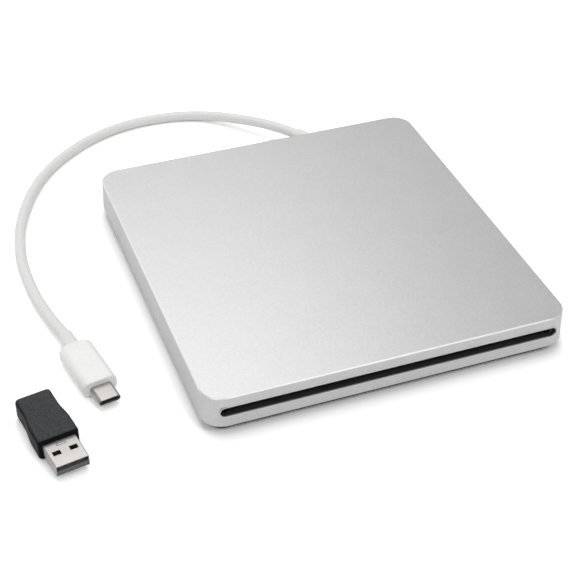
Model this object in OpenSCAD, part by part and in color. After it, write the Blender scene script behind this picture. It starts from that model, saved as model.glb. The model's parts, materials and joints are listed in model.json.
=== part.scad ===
// External slot-loading disc drive with a captive lead and a loose plug adapter.
// Millimetres. X is right, Y is back, Z is up. The origin is on the table under the middle of the case.

/* [Case] */
// Width of the case across its top edges
body_w = 140; // [138:1:160]
// Depth of the case across its top edges
body_d = 150; // [148:1:170]
// Height of the case without its feet
body_h = 15.6; // [15.2:0.1:20]
// Corner radius seen from above
corner_r = 8; // [6:0.5:12]
// Outward lean of the walls from top to bottom, in degrees
wall_lean = 1.5; // [0.5:0.5:3]
// Size of the bright bevel along the top edge
top_bevel = 0.4; // [0.3:0.1:0.8]
// Height of the bevel along the lower edge
low_bevel = 3; // [2.4:0.1:3.2]
// Slope of that bevel from upright, in degrees
low_bevel_turn = 40; // [36:1:42]
// Thickness of the top
top_t = 1.7; // [1.2:0.1:2]
// Thickness of the walls at the top edge
side_t = 2.4; // [2:0.1:2.6]
// Height of the seam above the underside
seam_h = 1.1; // [0.9:0.1:1.1]
// Thickness of the bottom cover
cover_t = 1.4; // [1.2:0.1:2]

/* [Feet and screws] */
// Diameter of a foot
foot_d = 10; // [6:0.5:14]
// Height of a foot below the case
foot_h = 1; // [0.6:0.1:3]
// Depth of the pocket that a foot sits in
foot_recess = 0.4; // [0.2:0.1:0.6]
// Distance of a foot's middle from the case's edges
foot_inset = 20; // [16:1:30]
// Thread diameter of the screws
screw_d = 2; // [1.6:0.1:2.4]
// Head diameter of the screws
screw_head_d = 3.2; // [2.8:0.1:3.4]
// Head height of the screws
screw_head_h = 0.7; // [0.5:0.1:0.8]
// Length of the case screws' threads
case_screw_l = 7; // [4:0.5:10]

/* [Disc slot] */
// Distance of the slot's ends from the sides of the case
slot_margin = 5; // [4.5:0.1:8]
// Height of the slot
slot_h = 4.2; // [4.2:0.1:4.6]
// Thickness of the disc
disc_t = 1.2; // [1:0.1:1.4]
// Thickness of the dust felts behind the slot
felt_t = 1.2; // [0.8:0.1:2]

/* [Disc module] */
// Room beside the module for the gears
side_room = 4.8; // [4.7:0.1:5.4]
// Room behind the module for the bridge board
rear_room = 12.6; // [12:0.1:16]
// Thickness of the sheet steel
sheet_t = 0.6; // [0.5:0.1:0.7]
// Height of the mechanism between the tray's floor and the disc's path
mech_h = 4.7; // [4.6:0.1:5]

/* [Loading drive] */
// Diameter of the loading roller at its ends
roller_d = 4.2; // [4:0.1:4.3]
// Diameter of the loading roller at its waist
roller_waist_d = 3.2; // [2.6:0.1:3.8]
// Diameter of the roller's shaft
roller_shaft_d = 1.5; // [1.2:0.1:1.8]
// Angle through which the roller's bracket swings down
roller_swing = 7.2; // [6:0.1:7.2]
// Travel of the cam slider
slider_travel = 5; // [4:0.1:5]
// Thickness of the cam slider
slider_t = 1; // [0.8:0.1:1.1]
// Module of the gears
gear_m = 0.4; // [0.38:0.01:0.4]
// Thickness of a gear
gear_t = 1; // [0.8:0.1:1.1]
// Diameter of the loading motor
loading_motor_d = 4.2; // [3.6:0.1:4.2]
// Length of the loading motor
loading_motor_l = 17.6; // [12:0.2:20]

/* [Traverse and pickup] */
// Distance of the spindle in front of the middle of the case
spindle_front = 9; // [8:0.5:10]
// Angle through which the traverse tilts up to play
lift_angle = 2.4; // [2:0.1:2.6]
// Width of the traverse plate
traverse_w = 60; // [58:1:62]
// Diameter of the turntable
turntable_d = 25; // [24:0.5:26]
// Diameter of the hub that centres the disc
hub_d = 14.6; // [14.2:0.1:14.8]
// Diameter of the spindle's shaft
spindle_d = 2; // [1.6:0.1:2.4]
// Diameter of the pickup's guide rods
rod_d = 2; // [1.6:0.1:2]
// Radius on the disc where the pickup starts
read_start = 24; // [23.5:0.5:25]
// Travel of the pickup
sled_travel = 33.5; // [30:0.5:33.5]
// Diameter of the lead screw
lead_screw_d = 2; // [1.6:0.1:2.2]
// Diameter of the objective lens
lens_d = 3.6; // [3:0.1:4.2]

/* [Lead and plug] */
// Diameter of the lead
cable_d = 4.4; // [4:0.1:4.6]
// Length of the strain relief behind the case, along its bend
boot_l = 13.7; // [10:0.1:16]
// Width of the plug's grip
plug_w = 13.1; // [12:0.1:13.5]
// Thickness of the plug's grip
plug_t = 6.9; // [6.2:0.1:7.2]
// Length of the plug's grip
plug_l = 24.2; // [20:0.1:26]
// Width of the plug's metal shell
plug_shell_w = 8.3; // [8.2:0.05:8.4]
// Thickness of the plug's metal shell
plug_shell_t = 2.5; // [2.4:0.05:2.6]
// Length of the plug's metal shell
plug_shell_l = 8.2; // [6.6:0.1:8.5]

/* [Adapter] */
// Width of the adapter at its socket end
adapter_back_w = 13.2; // [12:0.1:13.6]
// Width of the adapter at its plug end
adapter_front_w = 15; // [14:0.1:17]
// Thickness of the adapter
adapter_t = 8.6; // [7.6:0.1:9]
// Length of the adapter's housing
adapter_l = 24.2; // [20:0.1:28]
// Width of the adapter's metal plug
adapter_plug_w = 12; // [11.5:0.1:12.2]
// Thickness of the adapter's metal plug
adapter_plug_t = 4.5; // [4.2:0.1:4.8]
// Length of the adapter's metal plug
adapter_plug_l = 11.8; // [10:0.1:12.5]

/* [Hidden] */
$fn = 64;
fit = 0.2;           // loose fit between parts that lie in one another
press = 0.02;        // gap round a part that is pressed or screwed in
running = 0.03;      // gap round a shaft in its bearing
clear = 0.3;         // gap beside a part that moves

// Heights
top_z = foot_h + body_h;
inner_top = top_z - top_t;
seam_z = foot_h + seam_h;
cover_top = foot_h + cover_t;
module_gap = 0.4;
chassis_z = cover_top + module_gap;
deck_z = chassis_z + sheet_t;
bay_z = deck_z + mech_h;
slot_z = bay_z + slot_h / 2;
lid_z = bay_z + slot_h + clear;
lid_top = lid_z + sheet_t;

// Plan of the case and of the module in it
inner_w = body_w - 2 * side_t;
inner_d = body_d - 2 * side_t;
inner_r = corner_r - side_t;
slot_w = body_w - 2 * slot_margin;
front_y = -inner_d / 2;
chassis_y0 = front_y + felt_t + 1.4;
chassis_y1 = inner_d / 2 - rear_room;
wall_x = inner_w / 2 - side_room;
spindle_y = -spindle_front;
boss_d = screw_d + 2;
boss_x = wall_x + boss_d / 2 + fit;
boss_ys = [spindle_y + 37, chassis_y1 + 6];
foot_x = body_w / 2 - foot_inset;
foot_y = body_d / 2 - foot_inset;
lid_posts = [for (sx = [-1, 1]) [sx * (wall_x - 3.8), chassis_y1 - 3.5]];
mount_spots = [for (sx = [-1, 1], p = [[wall_x - 12.8, chassis_y0 + 29], [foot_x - 10, chassis_y1 - 6]])
    [sx * p[0], p[1]]];

// Loading drive, as places along Y and Z beside the right wall of the tray
teeth_motor = 8;
teeth_reduction = 26;
teeth_reduction_small = 10;
teeth_idler = 20;
teeth_roller = 13;
teeth_cam = 22;
teeth_cam_small = 16;
addendum = 0.8 * gear_m;
dedendum = 1.15 * gear_m;
tooth_half = 0.76 * PI * gear_m / 4;
mesh_open = 2 * addendum + 0.1;
stud_d = 1.2;
layer_slider = wall_x + clear;
layer_a = layer_slider + slider_t + 0.4;
layer_b = layer_a + gear_t + clear;
pivot = [chassis_y0 + 17, deck_z + 2.6];
roller_at = [pivot[0] - 13.5, slot_z - disc_t / 2 - roller_d / 2 - 0.05];
idler_at = roller_at + (pitch_r(teeth_roller) + pitch_r(teeth_idler) + mesh_open) * [cos(6), sin(6)];
reduction_turn = 8;
reduction_at = idler_at + (pitch_r(teeth_idler) + pitch_r(teeth_reduction_small))
    * [cos(reduction_turn), sin(reduction_turn)];
motor_turn = -31;
motor_at = reduction_at + (pitch_r(teeth_reduction) + pitch_r(teeth_motor)) * [cos(motor_turn), sin(motor_turn)];
slider_z = cover_top + clear;
rack_z = slider_z + 1.6;
cam_z = rack_z + pitch_r(teeth_cam_small);
cam_reach = pitch_r(teeth_motor) + pitch_r(teeth_cam) + mesh_open;
cam_at = [motor_at[0] + sqrt(pow(cam_reach, 2) - pow(cam_z - motor_at[1], 2)), cam_z];
bracket_x = wall_x - sheet_t - 1.8;
bracket_t = 1.2;
bracket_pin_d = 1.4;
bracket_pin = pivot + [-5, -0.8];
bracket_pin_low = pivot + turn(bracket_pin - pivot, roller_swing);
stud_end = layer_slider + slider_t + 0.1;
guide_stud_d = 1.6;
guide_ys = [spindle_y - 13, spindle_y + 23];
guide_z = slider_z + 2.1;
motor_x1 = bracket_x - 0.8;
motor_x0 = motor_x1 - loading_motor_l;
motor_shaft_d = 1;

// Traverse, drawn level as it plays. S is the height of the disc's underside there.
seat_z = bay_z + 2;
plate_t = 0.6;
plate_z = seat_z - 4.2;
plate_top = plate_z + plate_t;
hinge_y = chassis_y1 - 3;
hinge_z = plate_z + plate_t / 2;
hinge_d = 1.8;
lift_pin_d = 1.6;
lift_pin = [spindle_y + 7, plate_top + 0.4];
lift_pin_low = [hinge_y, hinge_z] + turn(lift_pin - [hinge_y, hinge_z], lift_angle);
lens_y = spindle_y + read_start;
rod_x = 18.5;
rod_z = seat_z - 3.4;
rod_y0 = lens_y - 9;
rod_y1 = hinge_y - 0.8;
window_x = rod_x + rod_d / 2 + 0.7;
sled_x = window_x - clear;
sled_front = 6.5;
sled_back = 5.5;
sled_z0 = seat_z - 4.9;
sled_z1 = seat_z - 1.8;
pocket_z = sled_z1 - 1.5;
holder_z = pocket_z + 0.5;
screw_x = 24;
screw_z = seat_z - 2.4;
sled_motor_d = 3.8;
sled_motor_l = 12.5;
sled_motor_y1 = rod_y0 - 0.5;

// Lead: the strain relief bends to the left, and the middle line runs on from its end to the plug's collar
boot_x = 27.8;
boot_z = bay_z - 0.1;
boot_turn = 32;
boot_bend_r = boot_l * 180 / (PI * boot_turn);
boot_y0 = body_d / 2 + 0.5;
lead_from = [boot_x - boot_bend_r * (1 - cos(boot_turn)), boot_y0 + boot_bend_r * sin(boot_turn), 0];
lead_route = [
    [-1.9, 3, 7.95], [-4.5, 7.2, 7.6], [-7.2, 11.6, 7.1], [-12.1, 17.7, 6.5], [-19, 26, 5], [-28.6, 35.4, 3.2],
    [-40.4, 41.4, 2.3], [-53.9, 43.4, 2.3], [-67.5, 42.6, 2.3], [-84.1, 37.2, 2.3], [-97.3, 29, 2.3],
    [-108.4, 19.2, 2.3], [-117.6, 7, 2.3], [-124.7, -6.7, 2.3], [-129.7, -20.1, 2.3], [-132.5, -32.4, 2.3],
    [-134.1, -44.5, 2.3], [-134.2, -57.4, 2.3], [-133.5, -69.2, 2.4], [-131.7, -81.3, 2.7], [-129.8, -90.7, 3.25]
];
lead_sides = 10;
plug_at = [lead_from[0] - 128.27, lead_from[1] - 96.5];
plug_turn = 9.8;
collar_l = 8.5;
collar_d = 5.8;
lead_start = [lead_from[0], lead_from[1], boot_z];
lead_end = [plug_at[0], plug_at[1], plug_t / 2];
lead_points = concat([lead_start], [for (p = lead_route) lead_from + p], [lead_end]);
adapter_at = [lead_from[0] - 147.2, lead_from[1] - 129.24];
adapter_turn = 9.8;

// Points on an arc
function arc(c, r, a0, a1, n) = [for (i = [0:n]) c + r * [cos(a0 + (a1 - a0) * i / n), sin(a0 + (a1 - a0) * i / n)]];
// A point in a plane turned about the origin
function turn(p, a) = [p[0] * cos(a) - p[1] * sin(a), p[0] * sin(a) + p[1] * cos(a)];
function pitch_r(n) = gear_m * n / 2;
function unit(v) = v / norm(v);

// A box by its lowest and highest corners
module box(a, b) {
    translate(a) cube(b - a);
}

module bar_x(d, x0, x1, at) {
    translate([x0, at[0], at[1]]) rotate([0, 90, 0]) cylinder(d = d, h = x1 - x0);
}

module bar_y(d, y0, y1, at) {
    translate([at[0], y0, at[1]]) rotate([-90, 0, 0]) cylinder(d = d, h = y1 - y0);
}

module bar_z(d, z0, z1, at) {
    translate([at[0], at[1], z0]) cylinder(d = d, h = z1 - z0);
}

// A flat outline in Y and Z made solid along X
module slab_x(x0, t) {
    translate([x0, 0, 0]) rotate([90, 0, 90]) linear_extrude(t) children();
}

module rounded_plan(w, d, r) {
    square([w - 2 * r, d], center = true);
    square([w, d - 2 * r], center = true);
    for (sx = [-1, 1], sy = [-1, 1]) translate([sx * (w / 2 - r), sy * (d / 2 - r)]) circle(r);
}

// A bar or slot with round ends between two points
module slot_plan(a, b, w) {
    heading = atan2(b[1] - a[1], b[0] - a[0]);
    polygon(concat(arc(b, w / 2, heading - 90, heading + 90, 12), arc(a, w / 2, heading + 90, heading + 270, 12)));
}

// Spur gear outline with slim straight-sided teeth, one of them along +X
module gear_plan(n) {
    r = pitch_r(n);
    half = tooth_half;
    tip = asin((half - addendum * tan(20)) / (r + addendum));
    root = asin((half + dedendum * tan(20)) / (r - dedendum));
    polygon([for (i = [0:n - 1]) each [for (s = [[-root, r - dedendum], [-tip, r + addendum],
        [tip, r + addendum], [root, r - dedendum]]) s[1] * [cos(360 * i / n + s[0]), sin(360 * i / n + s[0])]]]);
}

module gear(n, x0, at, phase) {
    slab_x(x0, gear_t) translate(at) rotate(phase) gear_plan(n);
}

// How far the leaning wall stands out beyond the top edge at a height
function wall_reach(z) = (top_z - z) * tan(wall_lean);

// Outer form of the case: bevelled lower edge, leaning wall and small top bevel, carried round the corners
module case_form() {
    low_z = foot_h + low_bevel;
    edge = [[wall_reach(low_z) - low_bevel * tan(low_bevel_turn), foot_h], [wall_reach(low_z), low_z],
        [wall_reach(top_z - top_bevel), top_z - top_bevel], [-top_bevel, top_z]];
    back = [for (i = [len(edge) - 1:-1:0]) edge[i]];
    rotate([90, 0, 0]) linear_extrude(body_d - 2 * corner_r, center = true)
        polygon(concat([for (p = edge) [body_w / 2 + p[0], p[1]]], [for (p = back) [-body_w / 2 - p[0], p[1]]]));
    rotate([90, 0, 90]) linear_extrude(body_w - 2 * corner_r, center = true)
        polygon(concat([for (p = edge) [body_d / 2 + p[0], p[1]]], [for (p = back) [-body_d / 2 - p[0], p[1]]]));
    for (i = [0:3]) {
        sx = i == 0 || i == 3 ? 1 : -1;
        sy = i < 2 ? 1 : -1;
        translate([sx * (body_w / 2 - corner_r), sy * (body_d / 2 - corner_r), 0]) rotate(90 * i)
            rotate_extrude(angle = 90)
                polygon(concat([[0, foot_h]], [for (p = edge) [corner_r + p[0], p[1]]], [[0, top_z]]));
    }
}

module at_corners(x, y) {
    for (sx = [-1, 1], sy = [-1, 1]) translate([sx * x, sy * y, 0]) children();
}

module top_shell() {
    color("silver") difference() {
        union() {
            difference() {
                case_form();
                translate([0, 0, -1]) linear_extrude(inner_top + 1) rounded_plan(inner_w, inner_d, inner_r);
            }
            for (s = [-1, 1], y = boss_ys) bar_z(boss_d, cover_top, inner_top + 0.1, [s * boss_x, y]);
        }
        box([-body_w, -body_d, -1], [body_w, body_d, seam_z]);
        for (s = [-1, 1], y = boss_ys)
            bar_z(screw_d + 2 * press, cover_top - 1, foot_h + screw_head_h + case_screw_l + 0.5, [s * boss_x, y]);
        translate([0, front_y + 1, slot_z]) rotate([90, 0, 0]) linear_extrude(side_t + 4) {
            square([slot_w - slot_h, slot_h], center = true);
            for (s = [-1, 1]) translate([s * (slot_w - slot_h) / 2, 0]) circle(d = slot_h);
        }
        bar_y(cable_d + 1.6 + 2 * press, inner_d / 2 - 1, body_d / 2 + 2, [boot_x, boot_z]);
    }
}

module screw_holes(spots) {
    for (p = spots) {
        bar_z(screw_d + fit, foot_h - 1, deck_z, p);
        bar_z(screw_head_d + 2 * fit, foot_h - 1, foot_h + screw_head_h, p);
    }
}

case_screw_spots = [for (s = [-1, 1], y = boss_ys) [s * boss_x, y]];

module bottom_cover() {
    color("dimgray") difference() {
        union() {
            intersection() {
                case_form();
                box([-body_w, -body_d, 0], [body_w, body_d, seam_z]);
            }
            translate([0, 0, seam_z - 0.1]) linear_extrude(cover_t - seam_h + 0.1)
                rounded_plan(inner_w - 2 * fit, inner_d - 2 * fit, inner_r - fit);
            for (p = mount_spots) bar_z(6, cover_top - 0.1, chassis_z, p);
            for (p = board_spots) bar_z(3.4, cover_top - 0.1, bridge_z, p);
        }
        at_corners(foot_x, foot_y) bar_z(foot_d + fit, 0, foot_h + foot_recess, [0, 0]);
        screw_holes(case_screw_spots);
        screw_holes(mount_spots);
    }
}

module rubber_feet() {
    color("dimgray") at_corners(foot_x, foot_y) bar_z(foot_d, 0, foot_h + foot_recess, [0, 0]);
}

// Flat-headed screw with a cross recess, driven from below
module screw(length, p) {
    arm = screw_head_d * 0.34;
    difference() {
        bar_z(screw_head_d, foot_h + 0.05, foot_h + screw_head_h, p);
        for (turned = [0, 90]) translate([p[0], p[1], foot_h]) rotate(turned)
            cube([2 * arm, 0.5, screw_head_h], center = true);
    }
    bar_z(screw_d, foot_h + screw_head_h - 0.1, foot_h + screw_head_h + length, p);
}

module case_screws() {
    color("darkgray") for (p = case_screw_spots) screw(case_screw_l, p);
}

module module_screws() {
    color("darkgray") for (p = mount_spots) screw(deck_z + 1 - foot_h - screw_head_h, p);
}

module slot_felts() {
    half = inner_w / 2 - inner_r;
    color("dimgray") for (z = [[bay_z - 1.8, bay_z - 0.05], [bay_z + slot_h + 0.05, bay_z + slot_h + 1.8]])
        box([-half, front_y, z[0]], [half, front_y + felt_t, z[1]]);
}

module damper_pads() {
    at_x = wall_x - 20.8;
    color("darkslategray") for (sx = [-1, 1], y = [chassis_y0 + 20, chassis_y1 - 20])
        box([sx * at_x - 6, y - 6, lid_top], [sx * at_x + 6, y + 6, inner_top]);
}

// Sheet steel tray that carries the whole mechanism, with the gear studs' wall on the right
module module_tray() {
    in_x = wall_x - sheet_t;
    color("lightsteelblue") difference() {
        union() {
            box([-wall_x, chassis_y0, chassis_z], [wall_x, chassis_y1, deck_z]);
            for (s = [-1, 1])
                box([min(s * wall_x, s * in_x), chassis_y0, chassis_z], [max(s * wall_x, s * in_x), chassis_y1, lid_z]);
            box([-wall_x, chassis_y1 - sheet_t, chassis_z], [wall_x, chassis_y1, lid_z]);
            box([-wall_x, chassis_y0, chassis_z], [wall_x, chassis_y0 + sheet_t, bay_z - 0.5]);
            for (p = mount_spots) bar_z(boss_d, chassis_z, deck_z + 1.2, p);
            for (p = lid_posts) bar_z(boss_d, chassis_z, lid_z, p);
            for (s = [-1, 1])
                box([s * (traverse_w / 2 + 2.2) - 1, hinge_y - 2, chassis_z], [s * (traverse_w / 2 + 2.2) + 1,
                    chassis_y1, hinge_z + 1.8]);
            for (p = main_board_spots) bar_z(3, chassis_z, main_board_z, p);
            for (x = [motor_x0 + 2, motor_x1 - 5])
                box([x, motor_at[0] - 2.6, chassis_z], [x + 3, motor_at[0] + 2.6, deck_z + 1]);
        }
        // Window under the traverse and under its lifting arm
        box([-traverse_w / 2 - 0.8, spindle_y - turntable_d / 2 - 3.5, 0],
            [traverse_w / 2 + 0.8, hinge_y - 2.5, deck_z + 0.01]);
        box([0, lift_pin[0] - 6, 0], [in_x, lift_pin[0] + 6, deck_z + 0.01]);
        for (s = [-1, 1]) bar_x(hinge_d + 2 * running, s * (traverse_w / 2 + 2.2) - 2, s * (traverse_w / 2 + 2.2) + 2,
            [hinge_y, hinge_z]);
        for (s = [-1, 1]) bar_x(1.6 + 2 * running, s * wall_x - 2, s * wall_x + 2, pivot);
        bar_x(loading_motor_d + 2 * press, motor_x0 - 1, motor_x1 + 0.5, motor_at);
        bar_x(motor_shaft_d + 2, in_x - 0.1, wall_x + 1, motor_at);
        // Slots in the right wall for the roller's shaft and the two cam pins
        box([in_x - 0.1, roller_at[0] - 1.6, roller_at[1] - 3.2], [wall_x + 1, roller_at[0] + 1.6, roller_at[1] + 1.4]);
        box([in_x - 0.1, bracket_pin[0] - 1.1, bracket_pin_low[1] - 1.1],
            [wall_x + 1, bracket_pin[0] + 1.4, bracket_pin[1] + 1.1]);
        box([in_x - 0.1, lift_pin[0] - 1.3, lift_pin_low[1] - 1.2], [wall_x + 1, lift_pin[0] + 1.3, lift_pin[1] + 1.2]);
        for (p = mount_spots) bar_z(screw_d + 2 * press, 0, deck_z + 3, p);
        for (p = lid_posts) bar_z(screw_d + 2 * press, lid_z - 4, lid_z + 1, p);
    }
}

module module_lid() {
    color("lightgray") difference() {
        box([-wall_x, chassis_y0, lid_z], [wall_x, chassis_y1, lid_top]);
        for (p = lid_posts) bar_z(screw_d + fit, lid_z - 1, lid_top + 1, p);
    }
}

module lid_screws() {
    color("darkgray") for (p = lid_posts) {
        bar_z(screw_head_d, lid_top, lid_top + screw_head_h, p);
        bar_z(screw_d, lid_z - 3.5, lid_top + 0.1, p);
    }
}

// Smooth strips that press the disc down on the roller beside its middle
module disc_guides() {
    at_x = bracket_x - 19.4;
    color("darkslategray") for (s = [-1, 1])
        box([s * at_x - 16, roller_at[0] - 2, slot_z + disc_t / 2 + 0.1], [s * at_x + 16, roller_at[0] + 2, lid_z]);
}

module loading_motor() {
    color("silver") difference() {
        bar_x(loading_motor_d, motor_x0, motor_x1, motor_at);
        bar_x(motor_shaft_d + 2 * running, motor_x1 - 2, motor_x1 + 1, motor_at);
    }
}

module motor_pinion() {
    color("goldenrod") {
        bar_x(motor_shaft_d, motor_x1 - 1.8, layer_b + gear_t, motor_at);
        gear(teeth_motor, layer_b, motor_at, motor_turn + 180 + 180 / teeth_motor);
    }
}

module reduction_gear() {
    color("ivory") difference() {
        union() {
            gear(teeth_reduction_small, layer_a, reduction_at, reduction_turn + 180 + 180 / teeth_reduction_small);
            bar_x(2.4, layer_a, layer_b + gear_t, reduction_at);
            gear(teeth_reduction, layer_b, reduction_at, motor_turn);
        }
        bar_x(stud_d + 2 * running, wall_x, layer_b + 2 * gear_t, reduction_at);
    }
}

module idler_gear() {
    color("ivory") difference() {
        gear(teeth_idler, layer_a, idler_at, reduction_turn);
        bar_x(stud_d + 2 * running, wall_x, layer_b, idler_at);
    }
}

module roller_gear() {
    color("ivory") difference() {
        gear(teeth_roller, layer_a, roller_at, 0);
        bar_x(roller_shaft_d + 2 * press, wall_x, layer_b, roller_at);
    }
}

// Small wheel on the slider's rack, large wheel with a toothless stretch beside the motor's pinion
module cam_gear() {
    gap_turn = atan2(motor_at[1] - cam_at[1], motor_at[0] - cam_at[0]);
    root = pitch_r(teeth_cam) - dedendum;
    color("ivory") difference() {
        union() {
            gear(teeth_cam_small, layer_slider, cam_at, -90 + 180 / teeth_cam_small);
            bar_x(2.4, layer_slider, layer_b + gear_t, cam_at);
            slab_x(layer_b, gear_t) translate(cam_at) {
                circle(root);
                difference() {
                    rotate(gap_turn) gear_plan(teeth_cam);
                    rotate(gap_turn) translate([0, -root / 2]) square([2 * root, root]);
                }
            }
        }
        bar_x(stud_d + 2 * running, wall_x, layer_b + 2 * gear_t, cam_at);
    }
}

// Plate that runs beside the tray: front slot drops the roller, rear slot lifts the traverse
module cam_slider() {
    root_z = rack_z - dedendum;
    half = tooth_half;
    tooth = [[half + dedendum * tan(20), -dedendum], [half - addendum * tan(20), addendum],
        [addendum * tan(20) - half, addendum], [-half - dedendum * tan(20), -dedendum]];
    step = PI * gear_m;
    reach = [slider_travel, 0];
    rack_count = ceil((slider_travel + 5) / step);
    rack = [for (i = [rack_count:-1:-2], p = tooth) [cam_at[0] + i * step, rack_z] + p];
    front = bracket_pin[0] - 1.6;
    color("orange") slab_x(layer_slider, slider_t) difference() {
        union() {
            polygon(concat([[front, slider_z], [lift_pin[0], slider_z], [lift_pin[0], root_z]], rack, [[front, root_z]]));
            translate([front, slider_z]) square([motor_at[0] - motor_shaft_d - front, bracket_pin[1] + 1.7 - slider_z]);
            translate([guide_ys[0] - 2, slider_z])
                square([lift_pin[0] - guide_ys[0] + 4, guide_z + 1.8 - slider_z]);
            translate([lift_pin[0] - 4, slider_z])
                square([guide_ys[1] + slider_travel + 6 - lift_pin[0], lift_pin[1] + 2 - slider_z]);
        }
        slot_plan(bracket_pin, bracket_pin_low + reach, bracket_pin_d + 2 * clear);
        slot_plan(lift_pin_low, lift_pin + reach, lift_pin_d + 2 * clear);
        for (y = guide_ys) slot_plan([y, guide_z], [y, guide_z] + reach, guide_stud_d + fit);
    }
}

module side_studs() {
    color("dimgray") {
        bar_x(stud_d, wall_x, layer_a + gear_t + 0.2, idler_at);
        bar_x(stud_d, wall_x, layer_b + gear_t + 0.2, reduction_at);
        bar_x(stud_d, wall_x, layer_b + gear_t + 0.2, cam_at);
        for (y = guide_ys) {
            bar_x(guide_stud_d, wall_x, stud_end + 0.3, [y, guide_z]);
            bar_x(guide_stud_d + 1.2, stud_end, stud_end + 0.3, [y, guide_z]);
        }
    }
}

module roller_bracket() {
    color("slategray") difference() {
        union() {
            for (s = [-1, 1]) slab_x(s > 0 ? bracket_x : -bracket_x - bracket_t, bracket_t)
                slot_plan(roller_at, pivot, 4);
            box([-bracket_x - 0.1, pivot[0] - 10.5, pivot[1] - 1], [bracket_x + 0.1, pivot[0] - 3, pivot[1] - 0.2]);
            for (s = [-1, 1]) bar_x(1.6, s > 0 ? bracket_x + 0.2 : -wall_x, s > 0 ? wall_x : -bracket_x - 0.2, pivot);
            bar_x(bracket_pin_d, bracket_x + 0.2, layer_slider + slider_t + 0.1, bracket_pin);
        }
        bar_x(roller_shaft_d + 2 * running, -wall_x, wall_x, roller_at);
    }
}

module roller_shaft() {
    color("gainsboro") bar_x(roller_shaft_d, -bracket_x - bracket_t, layer_a + gear_t, roller_at);
}

module loading_roller() {
    ends = bracket_x - 1;
    color("dimgray") for (s = [0, 180]) difference() {
        translate([0, roller_at[0], roller_at[1]]) rotate([0, 90, s])
            translate([0, 0, 2]) cylinder(d1 = roller_waist_d, d2 = roller_d, h = ends - 2);
        bar_x(roller_shaft_d + 2 * press, -wall_x, wall_x, roller_at);
    }
}

// The traverse as it waits for a disc: tilted down about its rear hinge
module lowered() {
    translate([0, hinge_y, hinge_z]) rotate([lift_angle, 0, 0]) translate([0, -hinge_y, -hinge_z]) children();
}

module traverse_plate() {
    half = traverse_w / 2;
    y0 = spindle_y - turntable_d / 2;
    color("darkgray") lowered() difference() {
        union() {
            box([-half, y0, plate_z], [half, hinge_y + 1, plate_top]);
            box([half - 1, lift_pin[0] - 3, plate_z], [wall_x - sheet_t - clear, lift_pin[0] + 3, plate_top]);
            box([wall_x - sheet_t - 1.8, lift_pin[0] - 1.2, plate_z],
                [wall_x - sheet_t - clear, lift_pin[0] + 1.2, lift_pin[1] + 0.8]);
            bar_x(lift_pin_d, wall_x - sheet_t - 1.5, layer_slider + slider_t + 0.1, lift_pin);
            for (s = [-1, 1]) {
                box([s * (half - 0.8) - 0.8, hinge_y - 1, plate_z - 0.5],
                    [s * (half - 0.8) + 0.8, hinge_y + 1, plate_top + 0.5]);
                bar_x(hinge_d, s > 0 ? half - 0.5 : -half - 3.2, s > 0 ? half + 3.2 : 0.5 - half, [hinge_y, hinge_z]);
                for (y = [rod_y0, rod_y1 - 2])
                    box([s * rod_x - 2, y, plate_z], [s * rod_x + 2, y + 2, rod_z + 1.6]);
            }
            box([screw_x - 2, rod_y1 - 2, plate_z], [screw_x + 2, rod_y1, screw_z + 1.4]);
        }
        box([-window_x, rod_y0 + 2, 0], [window_x, rod_y1 - 2, plate_top + 0.01]);
        box([screw_x - sled_motor_d / 2 - fit, sled_motor_y1 - sled_motor_l - fit, 0],
            [screw_x + sled_motor_d / 2 + fit, sled_motor_y1 + fit, plate_top + 0.01]);
        for (s = [-1, 1]) bar_y(rod_d + 2 * press, rod_y0 + 0.4, rod_y1 - 0.4, [s * rod_x, rod_z]);
        bar_y(1 + 2 * running, rod_y1 - 3, rod_y1 + 1, [screw_x, screw_z]);
    }
}

module spindle_motor() {
    slots = 9;
    color("peru") lowered() translate([0, spindle_y, 0]) difference() {
        union() {
            bar_z(turntable_d - 3, plate_top, plate_top + 0.5, [0, 0]);
            bar_z(5, plate_top, seat_z - 1, [0, 0]);
            difference() {
                bar_z(turntable_d - 8, plate_top + 0.4, seat_z - 1.3, [0, 0]);
                for (i = [0:slots - 1]) rotate(360 * i / slots)
                    box([4.2, -0.7, plate_top + 0.5], [turntable_d, 0.7, seat_z]);
            }
        }
        bar_z(spindle_d + 2 * running, plate_top + 0.2, seat_z, [0, 0]);
    }
}

module turntable() {
    rim_z = seat_z - 0.9;
    color("silver") lowered() translate([0, spindle_y, 0]) difference() {
        union() {
            bar_z(turntable_d, rim_z, seat_z - 0.25, [0, 0]);
            difference() {
                bar_z(turntable_d, plate_top + 0.7, rim_z + 0.1, [0, 0]);
                bar_z(turntable_d - 1.4, plate_top, rim_z, [0, 0]);
            }
            difference() {
                bar_z(turntable_d - 1.3, plate_top + 0.8, rim_z - 0.3, [0, 0]);
                bar_z(turntable_d - 7, plate_top, rim_z, [0, 0]);
            }
            bar_z(spindle_d, plate_top + 0.3, rim_z + 0.1, [0, 0]);
            bar_z(hub_d, seat_z - 0.3, seat_z + 0.2, [0, 0]);
            translate([0, 0, seat_z + 0.2]) cylinder(d1 = hub_d, d2 = hub_d - 0.8, h = 0.4);
        }
        for (i = [0:2]) rotate(120 * i) box([hub_d / 2 - 2.4, -1.1, seat_z - 0.1], [hub_d, 1.1, seat_z + 2]);
    }
}

module turntable_pad() {
    color("dimgray") lowered() translate([0, spindle_y, 0]) difference() {
        bar_z(turntable_d - 0.6, seat_z - 0.25, seat_z, [0, 0]);
        bar_z(hub_d + 1, seat_z - 1, seat_z + 1, [0, 0]);
    }
}

module hub_claws() {
    color("white") lowered() translate([0, spindle_y, 0]) for (i = [0:2]) rotate(120 * i)
        box([hub_d / 2 - 2.4, -1, seat_z - 0.1], [hub_d / 2 + 0.1, 1, seat_z + 0.45]);
}

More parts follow.
